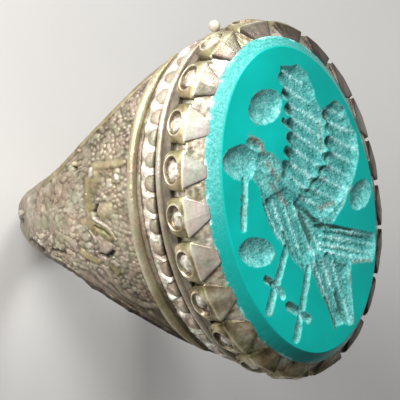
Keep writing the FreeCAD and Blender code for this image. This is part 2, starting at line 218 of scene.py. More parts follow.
def turn_points(points, angle=BEZEL_TURN):
    """Turns points round the upright axis."""
    cos, sin = math.cos(angle), math.sin(angle)
    x, y = points[..., 0], points[..., 1]
    return np.stack([x * cos - y * sin, x * sin + y * cos, points[..., 2]], -1)


def oval_arc(half_long, half_wide, steps=2880):
    """Angles round an oval with the arc length reached at each."""
    angle = np.linspace(0, 2 * math.pi, steps + 1)
    x, y = half_wide * np.cos(angle), half_long * np.sin(angle)
    length = np.concatenate([[0], np.cumsum(np.hypot(np.diff(x), np.diff(y)))])
    return angle, length


def even_angles(half_long, half_wide, count):
    """Angles of evenly spaced points along an oval."""
    angle, length = oval_arc(half_long, half_wide)
    return np.interp(np.arange(count) / count * length[-1], length, angle)


def oval_frame(half_long, half_wide, angle):
    """Points on an oval and their outward directions."""
    x, y = half_wide * np.cos(angle), half_long * np.sin(angle)
    nx, ny = np.cos(angle) / half_wide, np.sin(angle) / half_long
    size = np.hypot(nx, ny)
    return x, y, nx / size, ny / size


def photo_pixels(points):
    """Pixels of the photograph that show places of the near shoulder; the far one mirrors it."""
    offset = np.stack([-np.abs(points[..., 0]), points[..., 1], points[..., 2] - GIRDLE_HEIGHT], -1)
    return (GIRDLE_PIXEL[0] + PIXELS_PER_MM * (offset @ np.array(VIEW_RIGHT)),
            GIRDLE_PIXEL[1] - PIXELS_PER_MM * (offset @ np.array(VIEW_UP)))


def on_face(pixel):
    """Place on the stone's face, in the bezel's own axes, that a pixel of the photograph shows."""
    height = FACE_HEIGHT + FACE_DOME / 2 - GIRDLE_HEIGHT
    right = (pixel[0] - GIRDLE_PIXEL[0]) / PIXELS_PER_MM - VIEW_RIGHT.z * height
    up = -(pixel[1] - GIRDLE_PIXEL[1]) / PIXELS_PER_MM - VIEW_UP.z * height
    flat = Matrix(((VIEW_RIGHT.x, VIEW_RIGHT.y), (VIEW_UP.x, VIEW_UP.y)))
    x, y = flat.inverted() @ Vector((right, up))
    cos, sin = math.cos(BEZEL_TURN), math.sin(BEZEL_TURN)
    return x * cos + y * sin, -x * sin + y * cos


# Meshes

def add_object(name, data):
    """Object in the scene that shows a mesh, a lamp or a camera."""
    made = bpy.data.objects.new(name, data)
    bpy.context.scene.collection.objects.link(made)
    return made


def raw_mesh(name, points, quads, material, attributes):
    """Mesh piece from points in millimetres, lists of corners and values per point."""
    mesh = bpy.data.meshes.new(name)
    mesh.from_pydata((points * MM).tolist(), [], quads.tolist())
    for key, values in attributes.items():
        layer = mesh.attributes.new(key, "FLOAT", "POINT")
        layer.data.foreach_set("value", np.ascontiguousarray(values, dtype=np.float32).ravel())
    mesh.polygons.foreach_set("use_smooth", [True] * len(mesh.polygons))
    mesh.materials.append(material)
    mesh.validate()
    mesh.update()
    piece = add_object(name, mesh)
    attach(piece, "root")
    return piece


def grid_quads(index, close_rows=False, close_columns=False):
    """Corners of the faces between neighbouring points of a grid."""
    near = index if close_rows else index[:-1]
    far = np.roll(index, -1, 0) if close_rows else index[1:]
    if close_columns:
        corners = (near, np.roll(near, -1, 1), np.roll(far, -1, 1), far)
    else:
        corners = (near[:, :-1], near[:, 1:], far[:, 1:], far[:, :-1])
    return np.stack(corners, -1).reshape(-1, 4)


def grid_mesh(name, points, close_columns, material, attributes):
    """Mesh piece from a grid of points in millimetres that closes on itself along its rows."""
    index = np.arange(points.shape[0] * points.shape[1]).reshape(points.shape[:2])
    quads = grid_quads(index, True, close_columns)
    return raw_mesh(name, points.reshape(-1, 3), quads, material, attributes)


def shades(relief, olive):
    """Values that the silver's colour follows."""
    return {"relief": relief, "olive": np.clip(olive, 0, 1)}


def padded(values, count, filler):
    """Values per point of a grid, with more columns of one value."""
    return np.concatenate([values, np.full((len(values), count), filler)], 1)


def grid_normals(points):
    """Unit normals of a grid of points that closes on itself along its rows."""
    round_slope = np.roll(points, -1, 0) - np.roll(points, 1, 0)
    normal = np.cross(round_slope, np.gradient(points, axis=1))
    length = np.linalg.norm(normal, axis=-1, keepdims=True)
    return normal / np.maximum(length, 1e-9)


# Materials

# Colours from the darkest to the palest: place on a scale from 0 to 1, and colour; the palest stop gives the
# blades their painted highlight
SILVER_STOPS = ((0, (0.018, 0.013, 0.011)), (0.3, (0.13, 0.105, 0.088)), (0.55, (0.36, 0.31, 0.268)),
                (0.88, (0.78, 0.745, 0.7)), (1, (0.93, 0.91, 0.88)))
OLIVE_STOPS = ((0, (0.018, 0.014, 0.006)), (0.3, (0.11, 0.09, 0.04)), (0.55, (0.31, 0.265, 0.145)),
               (0.9, (0.76, 0.7, 0.5)))
TINT_STOPS = ((0.32, (1, 0.88, 0.84)), (0.5, (1, 0.98, 0.94)), (0.68, (0.88, 0.97, 0.84)))
POLISHED_STOPS = ((0.32, (0.002, 0.39, 0.335)), (0.68, (0.002, 0.55, 0.49)))
FROSTED_STOPS = ((0, (0.015, 0.17, 0.155)), (0.35, (0.075, 0.4, 0.375)), (0.65, (0.21, 0.58, 0.555)),
                 (1, (0.6, 0.86, 0.85)))
SOIL_STOPS = ((0.35, (0.07, 0.045, 0.025)), (0.55, (0.24, 0.19, 0.14)), (0.7, (0.52, 0.48, 0.4)))
# Darker stone colour that the painted shade mixes in
SHADED_STONE = (0.006, 0.24, 0.215, 1)
# Noises: scale per metre, layers of detail, and how rough they are
SILVER_PATCHES = (520, 5, 0.65)
SILVER_GRAIN = (4200, 4, 0.7)
SILVER_TINT = (900, 3)
STONE_CLOUDS = (150, 3)
STONE_GRIT = (5200, 3, 0.8)
# Depth of the finest bumps, in metres
SILVER_BUMP = 0.00007
STONE_BUMP = 0.00008
PLAIN_BUMP = 0.0001


def set_inputs(made, inputs):
    """Links each input of a node to a socket, or gives it a value."""
    for key, value in inputs.items():
        if isinstance(value, bpy.types.NodeSocket):
            made.id_data.links.new(value, made.inputs[key])
        else:
            made.inputs[key].default_value = value


def new_material(name):
    """Node material, and a helper that adds nodes to it."""
    material = bpy.data.materials.new(name)
    material.use_nodes = True

    def node(kind, inputs=None, **settings):
        made = material.node_tree.nodes.new(kind)
        for key, value in settings.items():
            setattr(made, key, value)
        set_inputs(made, inputs or {})
        return made

    return material, node


def noise(node, scale, detail, roughness=0.5):
    """Cloudy noise that is fixed to the object."""
    place = node("ShaderNodeTexCoord").outputs["Object"]
    inputs = {"Vector": place, "Scale": scale, "Detail": detail, "Roughness": roughness}
    return node("ShaderNodeTexNoise", inputs).outputs["Fac"]


def ramp(node, source, stops):
    """Colour ramp through stops of place and colour."""
    made = node("ShaderNodeValToRGB", {"Fac": source})
    elements = made.color_ramp.elements
    while len(elements) < len(stops):
        elements.new(0.5)
    for element, (place, colour) in zip(elements, stops):
        element.position = place
        element.color = (*colour, 1)
    return made.outputs["Color"]


def mixed(node, share, first, second, mode="MIX"):
    """Blend of two colours."""
    inputs = {0: share, 6: first, 7: second}
    return node("ShaderNodeMix", inputs, data_type="RGBA", blend_type=mode).outputs[2]


def reckoned(node, operation, first, second, clamp=False):
    """Result of a sum, a difference or a product."""
    return node("ShaderNodeMath", {0: first, 1: second}, operation=operation, use_clamp=clamp).outputs[0]


def swing(node, source, amount):
    """A noise turned into a swing about zero."""
    return reckoned(node, "MULTIPLY", reckoned(node, "SUBTRACT", source, 0.5), amount)


def spread(node, source, low, high):
    """A value from 0 to 1 spread over a range."""
    return node("ShaderNodeMapRange", {"Value": source, "To Min": low, "To Max": high}).outputs[0]


def value_of(node, name):
    """Value that the mesh holds under a name."""
    return node("ShaderNodeAttribute", attribute_name=name).outputs["Fac"]


def finished(material, node, colour, roughness, bump, more=None):
    """Joins a colour, a roughness and bumps (height, strength, depth) to a material's shader."""
    height, strength, depth = bump
    bumped = node("ShaderNodeBump", {"Height": height, "Strength": strength, "Distance": depth})
    inputs = {"Base Color": colour, "Roughness": roughness, "Normal": bumped.outputs["Normal"]}
    set_inputs(material.node_tree.nodes["Principled BSDF"], {**inputs, **(more or {})})
    return material


def metal(name, roughness, grain, metallic, bumps=0.7):
    """Old silver: dark in the recesses from tarnish and painted shade, pale on the high spots and where
    highlights are painted, mottled, here and there olive.
    """
    material, node = new_material(name)
    patches, fine = noise(node, *SILVER_PATCHES), noise(node, *SILVER_GRAIN)
    level = value_of(node, "relief")
    for source, amount in ((patches, grain * 1.5), (fine, grain)):
        level = reckoned(node, "ADD", level, swing(node, source, amount), clamp=True)
    silver, olive = ramp(node, level, SILVER_STOPS), ramp(node, level, OLIVE_STOPS)
    colour = mixed(node, value_of(node, "olive"), silver, olive)
    colour = mixed(node, 1, colour, ramp(node, noise(node, *SILVER_TINT), TINT_STOPS), "MULTIPLY")
    rough = spread(node, fine, roughness - 0.14, roughness + 0.16)
    return finished(material, node, colour, rough, (fine, bumps, SILVER_BUMP), {"Metallic": metallic})


def stone_material():
    """Polished blue-green stone with painted shade in places, frosted and dusted with brown where it is cut,
    and paled by a painted sheen on part of its bevel.
    """
    material, node = new_material("turquoise_stone")
    cut, grit = value_of(node, "cut"), noise(node, *STONE_GRIT)
    polished = ramp(node, noise(node, *STONE_CLOUDS), POLISHED_STOPS)
    polished = mixed(node, value_of(node, "tone_and_painted_shading"), polished, SHADED_STONE)
    level = reckoned(node, "ADD", value_of(node, "feather"), swing(node, grit, 1.5), clamp=True)
    colour = mixed(node, cut, polished, ramp(node, level, FROSTED_STOPS))
    colour = mixed(node, value_of(node, "soil_and_shade"), colour, ramp(node, grit, SOIL_STOPS))
    bump = (grit, reckoned(node, "MULTIPLY", cut, 0.9), STONE_BUMP)
    return finished(material, node, colour, spread(node, cut, 0.16, 0.6), bump, {"Specular IOR Level": 0.35})


def plain_material(name, dark, light, scale, roughness):
    """Dull mottled surface, for cement, hidden silver, silver darkened as painted shade, and the floor."""
    material, node = new_material(name)
    mottle = noise(node, scale, 6)
    return finished(material, node, ramp(node, mottle, ((0.3, dark), (0.7, light))), roughness,
                    (mottle, 0.2, PLAIN_BUMP))


# Hoop and shoulders

# Waves of the hoop's worn edge: height of the wave's middle, its reach, and the change of the half width
EDGE_WAVES = ((-3, 2.4, 0.5), (-7.2, 1.6, -0.3), (5.8, 2.2, -0.35))
# Share of the hoop's thickness that its edges keep, and the softness of its fold into the shoulders' plan
EDGE_SHARE = 0.3
FOLD_SOFTNESS = 0.2
# Search for the plan's edge along a ray from the finger's axis
SEARCH_REACH = 17
SEARCH_STEPS = 18


def half_width_at(height):
    """Half width of the hoop at a height."""
    rise = np.maximum(0, height - FLARE_START) / (DECK_HEIGHT - FLARE_START)
    worn = sum(change * bell(height, middle, reach) for middle, reach, change in EDGE_WAVES)
    return BAND_HALF_WIDTH + (SHOULDER_HALF_LENGTH - BAND_HALF_WIDTH) * rise ** FLARE_POWER + worn


def hoop_y(across, z):
    """Place along the finger for a share of the half width at a height."""
    return across * half_width_at(np.minimum(z, DECK_HEIGHT)) + LEAN * (z - LEAN_FREE_HEIGHT)


def plan_share(x, y, z):
    """How far out a point lies in the shoulders' plan, 1 at its edge."""
    half_long = np.interp(z, PLAN_HEIGHTS, PLAN_HALF_LONG)
    half_wide = np.interp(z, PLAN_HEIGHTS, PLAN_HALF_WIDE)
    cos, sin = math.cos(BEZEL_TURN), math.sin(BEZEL_TURN)
    return np.hypot((x * cos + y * sin) / half_wide, (-x * sin + y * cos) / half_long)


def hoop_radius_at(angle, across):
    """Outer radius of the hoop at an angle round the finger and a share of its half width."""
    elevation = np.where(np.cos(angle) >= 0, angle, math.pi - angle)
    crest = HOOP_RADIUS / np.cos(np.clip(elevation, 0, CREST_ANGLE))
    rise = EDGE_SHARE + (1 - EDGE_SHARE) * np.sqrt(np.maximum(0, 1 - np.abs(across) ** 3))
    crown = FINGER_HOLE_RADIUS + (crest - FINGER_HOLE_RADIUS) * rise
    low = np.full_like(crown, FINGER_HOLE_RADIUS)
    high = np.full_like(crown, SEARCH_REACH)
    for _ in range(SEARCH_STEPS):
        middle = (low + high) / 2
        z = middle * np.sin(angle)
        inside = plan_share(middle * np.cos(angle), hoop_y(across, z), z) < 1
        low = np.where(inside, middle, low)
        high = np.where(inside, high, middle)
    blended = -FOLD_SOFTNESS * np.logaddexp(-crown / FOLD_SOFTNESS, -low / FOLD_SOFTNESS)
    sine = np.sin(angle)
    # The flat deck cuts the hoop off only on its upper side, and the wall never grows thinner than 0.05
    deck = np.where(sine > 0.05, DECK_HEIGHT / np.maximum(sine, 0.05), math.inf)
    return np.maximum(FINGER_HOLE_RADIUS + 0.05, np.minimum(np.minimum(crown, blended + 0.02), deck))


# Raised forms of the shoulder: places in pixels of the photograph, half width in pixels,
# height in millimetres, share of olive, and tone
SHOULDER_FORMS = (
    (((88.5, 180), (88, 198), (91, 220), (94, 232)), 4.6, 0.30, 1, 0.42),
    (((94, 168), (96, 176), (94, 190)), 4.2, 0.24, 0.8, 0.42),
    (((95, 166), (106, 165.5), (121, 163)), 4.2, 0.28, 0.8, 0.46),
    (((104.5, 211.5),), 8.6, 0.42, 0.75, 0.47),
    (((92, 213), (93.5, 219), (99, 222.5), (107, 227.5), (111.5, 234), (115.5, 240)),
     2, 0.28, 0.1, 0.68),
    (((98.5, 229), (105, 233), (111, 238)), 4.4, 0.2, 1, 0.42),
    (((107, 248.5),), 7.4, 0.38, 0.1, 0.6),
    (((90, 231), (93.5, 236), (96, 242)), 1.7, 0.26, 0.1, 0.8),
    (((86.5, 237.5),), 4.6, 0.3, 0.3, 0.66),
    (((88.5, 246),), 3.6, 0.24, 0, 0.75),
    (((77, 248), (84, 254), (92, 259), (99, 262)), 3.2, 0.28, 0.9, 0.42),
    (((73, 243), (77, 250)), 3, 0.22, 0, 0.66),
    (((91, 169), (90.5, 176)), 2.4, 0.28, 0, 0.88),
    (((109, 181), (109.5, 186)), 2.8, 0.28, 0.1, 0.82),
    (((116, 176), (117, 179)), 2.4, 0.24, 0, 0.86),
    (((113.5, 262.5), (117, 265.5)), 3, 0.3, 0.1, 0.86),
    (((112.5, 266.5), (118, 273)), 3.2, 0.2, 1, 0.36),
    (((107, 269), (112, 280), (123, 293), (135, 301), (147, 306), (161, 306.5)),
     2.9, 0.3, 0.3, 0.6),
    (((75.2, 164),), 2.9, 0.42, 0.9, 0.96),
    (((79.4, 150.5),), 1.9, 0.3, 0.5, 0.95),
    (((86.5, 194.3),), 1.6, 0.4, 0.9, 0.9),
    (((97.5, 199.5),), 1.9, 0.3, 0.2, 0.85),
    (((41, 236.5),), 3.2, 0.34, 0.4, 0.92),
    (((19, 213),), 3.4, 0.34, 0.3, 0.98),
    (((41, 245), (38, 241)), 1.6, 0.24, 0, 0.8),
    (((83.5, 222),), 3.4, 0.16, 1, 0.58),
)
# Hollows of the shoulder, each darkened, the first two as painted shadows under granules: places and half
# width in pixels, depth in millimetres
SHOULDER_HOLLOWS = (
    (((75.5, 168.5),), 2.2, 0.22),
    (((18.5, 221),), 2.6, 0.3),
    (((30, 241), (36, 246), (42, 251)), 1.8, 0.3),
    (((102, 254.5), (108, 256.5), (113.5, 252)), 1.7, 0.22),
    (((52, 250), (64, 253)), 1.3, 0.16),
    (((96.5, 205), (95.5, 212), (99, 218)), 1.3, 0.16),
    (((96, 226.5), (104, 230), (110, 236)), 1, 0.12),
)
# Lower edge of the field of granules: places to the right and down, in pixels
FIELD_EDGE = ((0, 107, 123, 147, 400), (262, 270, 295, 309, 312))


# Rows of granules follow an oval: its half length and half width, and the pitch along and down the rows
GRANULE_OVAL = (12.75, 10)
GRANULE_PITCH = (0.38, 0.37)
# Pebbles lie in arcs round a place: that place, the pitch of the arcs and the length of a pebble, in pixels
PEBBLE_CENTRE = (118, 212)
PEBBLE_ARC_PITCH = 3.6
PEBBLE_LENGTH = 9
PEBBLE_MEAN_REACH = 70
SLANT_PITCH = 6.2


def shoulder_beads(points, right, down, warp):
    """Granules in rows under the bezel, pebbles further down, and slanted ridges at the low edge."""
    angle, length = oval_arc(*GRANULE_OVAL)
    turned_angle = np.arctan2(points[..., 1] / GRANULE_OVAL[0], np.abs(points[..., 0]) / GRANULE_OVAL[1])
    along = np.interp(np.abs(turned_angle), angle, length) * np.sign(turned_angle)
    row_place = (9.6 - points[..., 2]) / GRANULE_PITCH[1] + 0.4 * warp
    rows = bead_field(along / GRANULE_PITCH[0] + 0.6 * warp + 60, row_place, 0.6, 0.75)
    from_left, from_top = right - PEBBLE_CENTRE[0], down - PEBBLE_CENTRE[1]
    reach = np.hypot(from_left, from_top * 0.8) / PEBBLE_ARC_PITCH
    bearing = np.arctan2(from_top, from_left) * PEBBLE_MEAN_REACH / PEBBLE_LENGTH
    pebbles = 1.1 * bead_field(reach + 0.6 * warp, bearing + 0.4 * warp, 0.72, 0.7)
    left = ease(92, 84, right) * ease(236, 222, down) * ease(146, 156, down)
    low_side = ease(0, 5, down - np.interp(right, *FIELD_EDGE))
    slant = (-0.60 * right + 0.80 * down) / SLANT_PITCH + 0.35 * warp
    oblique = np.abs(np.mod(slant, 1) - 0.5) * 2
    return blend(blend(rows, pebbles, left), 0.8 * (1 - oblique ** 1.5), low_side)


def shoulder_relief(points, across):
    """Height of the chasing on the hoop's outer face, how pale it is with painted shade and shadows, and how
    olive.
    """
    y, z = points[..., 1], points[..., 2]
    right, down = photo_pixels(points)
    warp = noise_at(points, 1.6, 2)
    edge_gap = (1 - np.abs(across)) * half_width_at(np.minimum(z, DECK_HEIGHT))
    in_view = ease(-8.5, -6.8, z)
    beads = shoulder_beads(points, right, down, warp)

    field = ease(0.45, 0.8, edge_gap) * ease(-4.6, -3.2, z)
    height = (0.11 * beads - 0.03) * field
    # Tone of the field, with painted shade towards the upper end of the shoulder
    tone = 0.48 + field * (0.18 * beads - 0.07) - 0.13 * ease(1, 8, y)
    olive = 0.25 + 0.25 * noise_at(points + 20, 2.4, 2)

    strip = ease(0.72, 0.55, edge_gap) * ease(-4, 0, z)
    height += 0.08 * strip - 0.06 * bell(edge_gap, 0.76, 0.09) * field
    olive = olive + 0.55 * strip * (y > 0)
    # Tone of the edge strip, darker on the lower side as painted shade
    tone = blend(tone, np.where(y > 0, 0.46, 0.26), strip)

    for places, wide, tall, green, pale in SHOULDER_FORMS:
        gap = path_gap(right + 0.5 * warp, down, places) / wide
        body = (dome(gap) if len(places) == 1 else ease(1.5, 0.1, gap)) * in_view
        cover = ease(0, 0.7, body)
        height = blend(height, np.maximum(0.6 * height, 0.38 * tall * body), cover)
        tone = blend(tone, 0.32 + 0.32 * pale + 0.16 * (body - 0.5), cover)
        olive = blend(olive, green, cover)
        # A painted shadow round the foot of each form, where the surface also dips a little
        foot = bell(gap * wide, 1.15 * wide, 0.9) * in_view
        height -= 0.025 * foot
        tone -= 0.05 * foot
    # Each hollow is dented and darkened; under the first two granules the darkening is a painted shadow
    for places, wide, deep in SHOULDER_HOLLOWS:
        dent = bell(path_gap(right + 0.7 * warp, down, places), 0, wide) * in_view
        height -= deep * dent
        tone -= 0.4 * dent
    height += 0.05 * noise_at(points, 3.2, 2) + 0.02 * noise_at(points, 0.45, 2)
    height += 0.11 * strip * (y < 0) * noise_at(points + 3, 0.9, 3)
    tone += 0.08 * noise_at(points + 7, 0.7, 2) + 0.06 * noise_at(points + 9, 0.24, 2)
    # Painted shade on the lower side of the shoulder and towards the bottom of the hoop
    tone -= 0.24 * ease(-2, -9, y) + 0.08 * ease(-5, -8, z)
    return height, tone, olive


# Points across the hoop's face, and stretches round it in degrees with the rows of points in each
HOOP_COLUMNS = 352
HOOP_STRETCHES = ((-90, -45, 40), (-45, 52, 130), (52, 128, 24), (128, 225, 296), (225, 270, 40))
HOOP_SIDE_STEPS = 4
HOOP_INNER_STEPS = 12


def hoop_piece(material):
    """Skin of the hoop: bored inside, chased outside."""
    angle = np.concatenate([np.linspace(a, b, count, endpoint=False) for a, b, count in HOOP_STRETCHES])
    angle = np.radians(angle)[:, None]
    across = np.linspace(-1, 1, HOOP_COLUMNS)[None, :]
    across = np.sign(across) * (1 - (1 - np.abs(across)) ** 1.15)
    angle_grid = angle + 0 * across
    across_grid = across + 0 * angle
    radius = hoop_radius_at(angle_grid, across_grid)
    z = radius * np.sin(angle_grid)
    outer = np.stack([radius * np.cos(angle_grid), hoop_y(across_grid, z), z], -1)
    height, tone, olive = shoulder_relief(outer, across_grid)
    keep = ease(8.4, 8.1, outer[..., 2]) * ease(1, 0.97, np.abs(across_grid))
    normal = grid_normals(outer)
    facing = np.sign((normal * outer).sum(-1, keepdims=True))
    outer = outer + normal * facing * (height * keep)[..., None]
    edges = []
    for sign in (1, -1):
        edge = np.stack([np.cos(angle), 0 * angle, np.sin(angle)], -1)[:, 0] * FINGER_HOLE_RADIUS
        edge[:, 1] = hoop_y(sign, edge[:, 2])
        edges.append(edge)
    sheets = [outer]
    for start, end, steps in ((outer[:, -1], edges[0], HOOP_SIDE_STEPS), (*edges, HOOP_INNER_STEPS),
                              (edges[1], outer[:, 0], HOOP_SIDE_STEPS)):
        shares = np.arange(1, steps + 1)[None, :, None] / steps
        sheets.append(start[:, None] + (end - start)[:, None] * shares)
    points = np.concatenate(sheets, 1)[:, :-1]
    extra = points.shape[1] - HOOP_COLUMNS
    attributes = shades(padded(tone, extra, 0.45), padded(olive, extra, 0.3))
    piece = grid_mesh("shank_skin", points, True, material, attributes)
    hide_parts("shank", "left_motif", "right_motif")


# Wires and the scalloped band

WIRE_STEPS = 420
WIRE_SIDES = 20
WIRE_WOBBLE = 0.03
# The free end of a wire tapers over this many of its radii
WIRE_TAPER = 9


def wire_piece(name, node, wire, material, spans, green):
    """Round wire bent to an oval, slightly uneven as drawn by hand, in one or more lengths."""
    half_long, half_wide, height, radius = wire
    ring = np.linspace(0, 2 * math.pi, WIRE_SIDES, endpoint=False)[None, :]
    points_all, quads_all, relief_all = [], [], []
    for place, (start, end) in enumerate(spans):
        turns = np.linspace(start, end, WIRE_STEPS)
        x, y, nx, ny = (v[:, None] for v in oval_frame(half_long, half_wide, turns))
        from_end = np.minimum(turns - start, end - turns)[:, None] * half_wide
        taper = np.clip(from_end / (WIRE_TAPER * radius), 0, 1) ** 0.6
        thick = radius * (np.ones_like(taper) if len(spans) == 1 else taper)
        points = np.stack([x + nx * (thick * np.cos(ring)), y + ny * (thick * np.cos(ring)),
                           height + thick * np.sin(ring)], -1)
        bumps = WIRE_WOBBLE * noise_at(points, 1.8, 3)
        points += np.stack([nx * bumps, ny * bumps, 0.6 * bumps], -1)
        relief_all.append((0.5 + 0.12 * np.cos(ring) + 3 * bumps).ravel())
        index = np.arange(bumps.size).reshape(bumps.shape) + place * bumps.size
        quads_all.append(grid_quads(index, close_columns=True))
        points_all.append(points.reshape(-1, 3))
    points = turn_points(np.concatenate(points_all))
    olive = green + 0.25 * noise_at(points, 3, 2)
    attributes = shades(np.concatenate(relief_all), olive)
    piece = raw_mesh(name, points, np.concatenate(quads_all), material, attributes)
    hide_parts(node)


SCALLOP_COLUMNS = 36 * LUMP_COUNT
SCALLOP_ROWS = 44
SCALLOP_BACK = 0.3


def scallop_piece(material):
    """Rough pale band with a row of half-round scallops that hang from its top."""
    top = STRIP_FOOT + STRIP_HEIGHT
    turns = even_angles(*STRIP_HALVES, SCALLOP_COLUMNS)
    x, y, nx, ny = (v[:, None] for v in oval_frame(*STRIP_HALVES, turns))
    pitch = oval_arc(*STRIP_HALVES)[1][-1] / LUMP_COUNT
    place = np.arange(SCALLOP_COLUMNS)[:, None] / (SCALLOP_COLUMNS / LUMP_COUNT)
    lump = np.floor(place)
    z = STRIP_FOOT + STRIP_HEIGHT * np.linspace(0, 1, SCALLOP_ROWS)[None, :] + 0 * x
    scatter = np.stack([x + 0 * z, y + 0 * z, z], -1)
    pick = [hashed(lump % LUMP_COUNT, lump * 0 + k) for k in (5, 6, 7)]
    across = (place - lump - 0.5) * pitch + 0.12 * (pick[0] - 0.5) + 0.04 * noise_at(scatter, 0.5, 2)
    drop = (top - z) / (0.8 + 0.25 * pick[1])
    bulge = np.sqrt(np.maximum(0, 1 - (across / (0.54 + 0.14 * pick[2])) ** 2 - drop ** 2))
    crumbs = noise_at(scatter, 0.5, 3)
    patch = ease(0.45, 0.9, np.abs(across) / (pitch / 2)) * ease(0, 0.5, z - STRIP_FOOT - 0.1)
    out = 0.02 + (0.2 + 0.1 * pick[0]) * bulge + (0.08 + 0.14 * patch) * (bulge <= 0) * (0.6 + 0.7 * crumbs)
    out = out + 0.03 * crumbs * (bulge > 0)
    out = out * ease(0, 0.12, z - STRIP_FOOT)
    points = [scatter + np.stack([nx * out, ny * out, 0 * out], -1)]
    for level in (top, STRIP_FOOT):
        points.append(np.stack([x - nx * SCALLOP_BACK, y - ny * SCALLOP_BACK, 0 * x + level], -1))
    shadow = bell(across ** 2 / 0.34 + drop ** 2, 1.08, 0.2)
    tone = np.where(bulge > 0, 0.5 + 0.1 * bulge, 0.74 + 0.2 * patch + 0.24 * crumbs)
    tone = tone - 0.14 * shadow - 0.35 * ease(0.25, 0, z - STRIP_FOOT)
    attributes = shades(padded(tone, 2, 0.2), padded(np.where(bulge > 0, 0.3, 0.15), 2, 0.2))
    piece = grid_mesh("scallop_band", turn_points(np.concatenate(points, 1)), True, material, attributes)
    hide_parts("scallop_strip", "scallop_lumps")


# Collar and teeth

COLLAR_STEPS = 1500
COLLAR_ROWS = 30
COLLAR_THICKNESS = 1.2


def collar_piece(material):
    """Sunken collar between the teeth, crumbled along the stone's edge."""
    turns = np.linspace(0, 2 * math.pi, COLLAR_STEPS, endpoint=False)
    knots = range(len(COLLAR_PROFILE))
    places = np.linspace(0, 1, COLLAR_ROWS) * (len(COLLAR_PROFILE) - 1)
    outset, height = (np.interp(places, knots, values)[None, :] for values in zip(*COLLAR_PROFILE))
    x, y, nx, ny = oval_frame(*CUP_RIM_HALVES, turns[:, None])
    points = np.stack([x + nx * outset, y + ny * outset, height + 0 * x], -1)
    crumbs = noise_at(points, 0.35, 3)
    points += 0.02 * np.stack([nx * crumbs, ny * crumbs, crumbs], -1)
    tone = 0.6 + 0.24 * crumbs + 0.12 * ease(14.6, 15.3, points[..., 2])
    olive = 0.45 + 0.5 * noise_at(points + 5, 1.2, 2)
    inner = np.stack([x - nx * COLLAR_THICKNESS, y - ny * COLLAR_THICKNESS, 0 * x + CUP_RIM], -1)
    points = np.concatenate([points, inner], 1)
    attributes = shades(padded(tone, 1, 0.2), np.concatenate([olive, olive[:, :1]], 1))
    piece = grid_mesh("collar_skin", turn_points(points), True, material, attributes)
    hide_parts("crown_collar")


# Profile of a tooth from its foot to the tip of its blade: share of the way, outward place,
# height and half width
TOOTH_PROFILE = (
    (0.00, -0.05, 12.16, 0.40), (0.05, 0.30, 12.22, 0.85), (0.14, 0.54, 12.55, 1.24),
    (0.28, 0.62, 13.10, 1.50), (0.50, 0.60, 14.08, 1.58), (0.57, 0.50, 14.36, 1.60),
    (0.94, -0.85, 15.40, 0.66), (1.00, -1.12, 15.52, 0.48),
)
EYE_HEIGHT = 13.36
EYE_HALVES = (1.02, 0.76)
# The back of a tooth: shares of the way with outward places, and the heights of its two ends
BACK_SHARES = (0, 0.2, 0.8, 1)
BACK_PLACES = (-0.35, -0.6, -1.05, -1.2)
BACK_HEIGHTS = (12.62, 15.32)
TOOTH_COLUMNS = 49
TOOTH_ROWS = 76
# The teeth differ in how pale their blades are, and the blades are lifted towards white as a painted
# highlight
BLADE_TONES_AND_HIGHLIGHT = (1.06, 0.98, 0.88)


def slab_quads(first):
    """Corners of the faces of a tooth: its front, its back and the four edges between them."""
    front = np.arange(TOOTH_ROWS * TOOTH_COLUMNS).reshape(TOOTH_ROWS, TOOTH_COLUMNS) + first
    back = front + front.size
    sheets = [grid_quads(front), grid_quads(back.T)]
    for line, mate in ((front[0], back[0]), (front[-1][::-1], back[-1][::-1]),
                       (front[:, -1], back[:, -1]), (front[:, 0][::-1], back[:, 0][::-1])):
        sheets.append(np.stack([line[1:], line[:-1], mate[:-1], mate[1:]], -1))
    return np.concatenate(sheets)


def eye_pellets(pick, side, level):
    """Height of three pellets in the eye of a tooth."""
    pellets = np.zeros_like(side)
    for _ in range(3):
        spot = (pick.uniform(-0.4, 0.4), pick.uniform(-0.25, 0.25))
        size = pick.uniform(0.5, 0.75)
        gap = np.hypot(side - spot[0], (level - spot[1]) * 0.9) / size
        pellets = np.maximum(pellets, dome(gap) * pick.uniform(0.7, 1))
    return pellets


